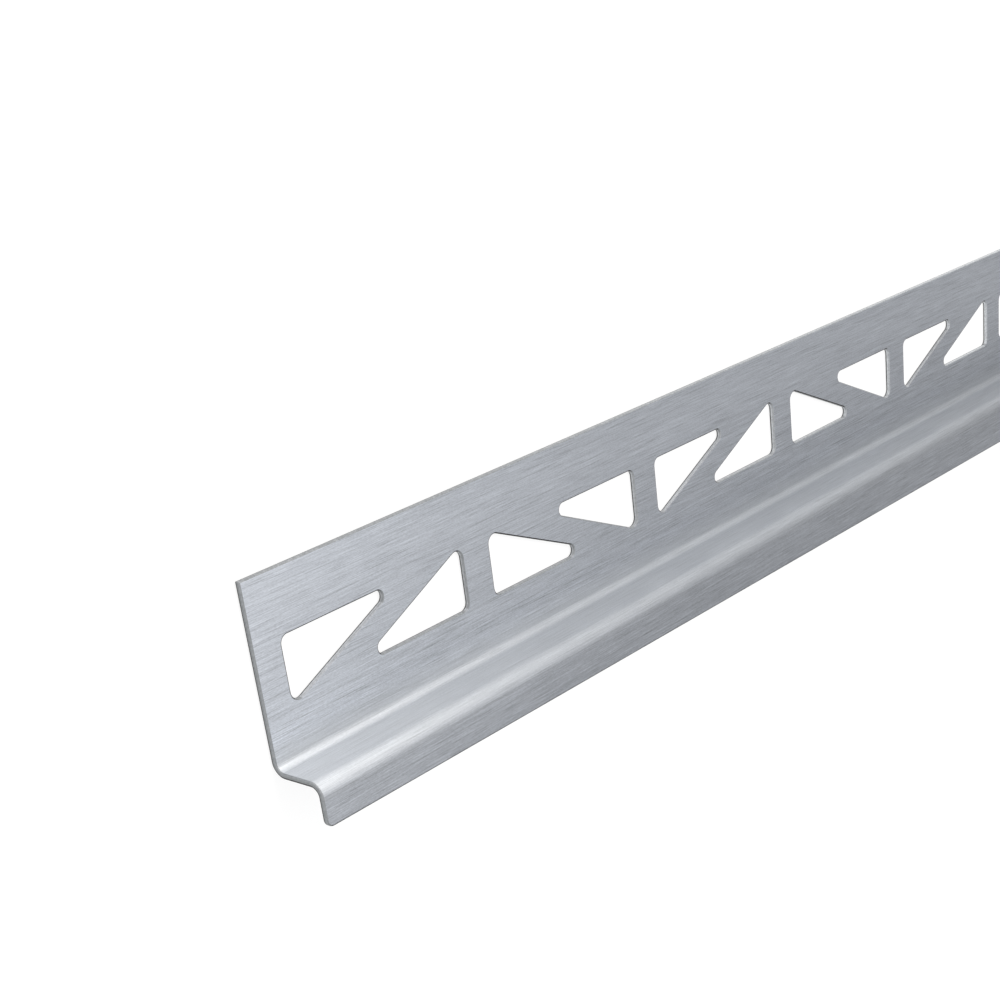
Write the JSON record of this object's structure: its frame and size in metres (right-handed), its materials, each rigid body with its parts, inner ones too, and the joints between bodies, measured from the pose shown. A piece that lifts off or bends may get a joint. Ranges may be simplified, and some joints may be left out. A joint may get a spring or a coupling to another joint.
{
  "type": "shower slope wedge profile",
  "caption": "Bent stainless strip for shower floors: a pierced anchoring leg, a tile-deep shelf and a visible wedge leg that grows along its length",
  "frame": {"origin": "middle of the bounding box in X and Y, on the back face of the anchoring leg at Z 0", "axes": "X along the profile from its low end to its high end, Y up the anchoring leg to its free edge, Z from the wall side to the visible side"},
  "size_m": [0.99, 0.0518, 0.011],
  "materials": {
    "brushed_stainless": "cold-rolled stainless strip brushed along its length, plain cut edges"
  },
  "bodies": {
    "root": {"wedge_profile": "brushed_stainless"}
  },
  "joints": []
}
